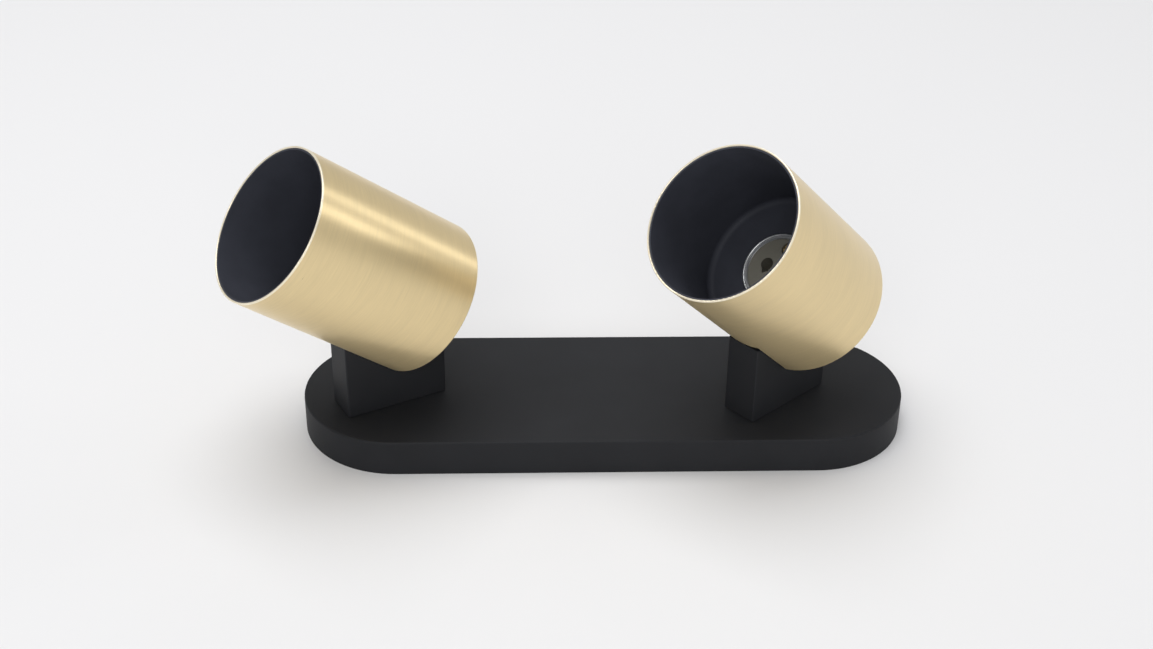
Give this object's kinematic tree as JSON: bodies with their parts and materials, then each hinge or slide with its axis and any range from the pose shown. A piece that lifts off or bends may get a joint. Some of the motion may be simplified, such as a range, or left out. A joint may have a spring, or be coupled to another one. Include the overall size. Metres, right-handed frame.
{
  "type": "multi-head spotlight",
  "caption": "Stadium-shaped black base plate with cylindrical brass spotlight heads on black rectangular necks, each with a swivel and a tilt joint.",
  "frame": {"origin": "middle of the base plate, on the face that lies on the wall or ceiling", "axes": "+X along the base plate, +Z away from the wall towards the heads, and the heads point mostly towards -Y as pictured"},
  "size_m": [0.2813, 0.1024, 0.1362],
  "materials": {
    "black_coat": "satin powder coat",
    "baffle_black": "matte black paint",
    "satin_brass": "satin plated, finely brushed",
    "zinc_plate": "bright zinc plate",
    "bright_brass": "turned bare brass",
    "white_nylon": "moulded nylon",
    "black_nylon": "moulded nylon",
    "cream_ceramic": "unglazed steatite",
    "grommet_rubber": "soft moulded rubber",
    "washer_fibre": "pressed fibre",
    "brown_insulation": "extruded insulation",
    "blue_insulation": "extruded insulation",
    "green_insulation": "extruded insulation",
    "white_sleeve": "woven glass sleeve"
  },
  "bodies": {
    "base": {"canopy": "black_coat", "mounting_bracket": "zinc_plate", "bracket_grub_screws": "zinc_plate", "cable_grommet": "grommet_rubber", "terminal_block": "white_nylon", "terminal_clamps": "bright_brass", "terminal_screws": "zinc_plate", "terminal_fixing_screws": "zinc_plate", "earth_stud": "bright_brass", "earth_ring": "zinc_plate", "earth_nut": "bright_brass", "swivel_stop_studs": "zinc_plate", "live_leads": "brown_insulation", "neutral_leads": "blue_insulation", "earth_leads": "green_insulation"},
    "left_neck": {"left_neck": "black_coat", "left_swivel_nipple": "zinc_plate", "left_slide_washers": "black_nylon", "left_stop_washer": "zinc_plate", "left_spring_washer": "zinc_plate", "left_swivel_nut": "zinc_plate", "left_neck_cable": "white_sleeve"},
    "left_head": {"left_tube": "satin_brass", "left_back_cap": "satin_brass", "left_tilt_yoke": "zinc_plate", "left_yoke_screws": "satin_brass", "left_baffle_cup": "baffle_black", "left_lampholder": "cream_ceramic", "left_lampholder_ring": "zinc_plate", "left_lampholder_screws": "bright_brass", "left_lampholder_contacts": "bright_brass", "left_lampholder_leads": "white_sleeve", "left_tilt_bolt": "zinc_plate", "left_tilt_nut": "zinc_plate", "left_friction_washers": "washer_fibre"},
    "right_neck": {"right_neck": "black_coat", "right_swivel_nipple": "zinc_plate", "right_slide_washers": "black_nylon", "right_stop_washer": "zinc_plate", "right_spring_washer": "zinc_plate", "right_swivel_nut": "zinc_plate", "right_neck_cable": "white_sleeve"},
    "right_head": {"right_tube": "satin_brass", "right_back_cap": "satin_brass", "right_tilt_yoke": "zinc_plate", "right_yoke_screws": "satin_brass", "right_baffle_cup": "baffle_black", "right_lampholder": "cream_ceramic", "right_lampholder_ring": "zinc_plate", "right_lampholder_screws": "bright_brass", "right_lampholder_contacts": "bright_brass", "right_lampholder_leads": "white_sleeve", "right_tilt_bolt": "zinc_plate", "right_tilt_nut": "zinc_plate", "right_friction_washers": "washer_fibre"}
  },
  "joints": [
    {"name": "left_swivel", "type": "hinge", "parent": "base", "child": "left_neck", "pos_m": [-0.08, 0, 0.0155], "axis": [0, 0, 1], "range_deg": [-193.6, 138.4]},
    {"name": "left_tilt", "type": "hinge", "parent": "left_neck", "child": "left_head", "pos_m": [-0.09418, -0.00741, 0.0455], "axis": [-0.4633, 0.8862, 0], "range_deg": [-38.2, 51.8]},
    {"name": "right_swivel", "type": "hinge", "parent": "base", "child": "right_neck", "pos_m": [0.08, 0, 0.0155], "axis": [0, 0, 1], "range_deg": [-207, 125]},
    {"name": "right_tilt", "type": "hinge", "parent": "right_neck", "child": "right_head", "pos_m": [0.06792, -0.0105, 0.0455], "axis": [-0.6561, 0.7547, 0], "range_deg": [-44, 46]}
  ]
}
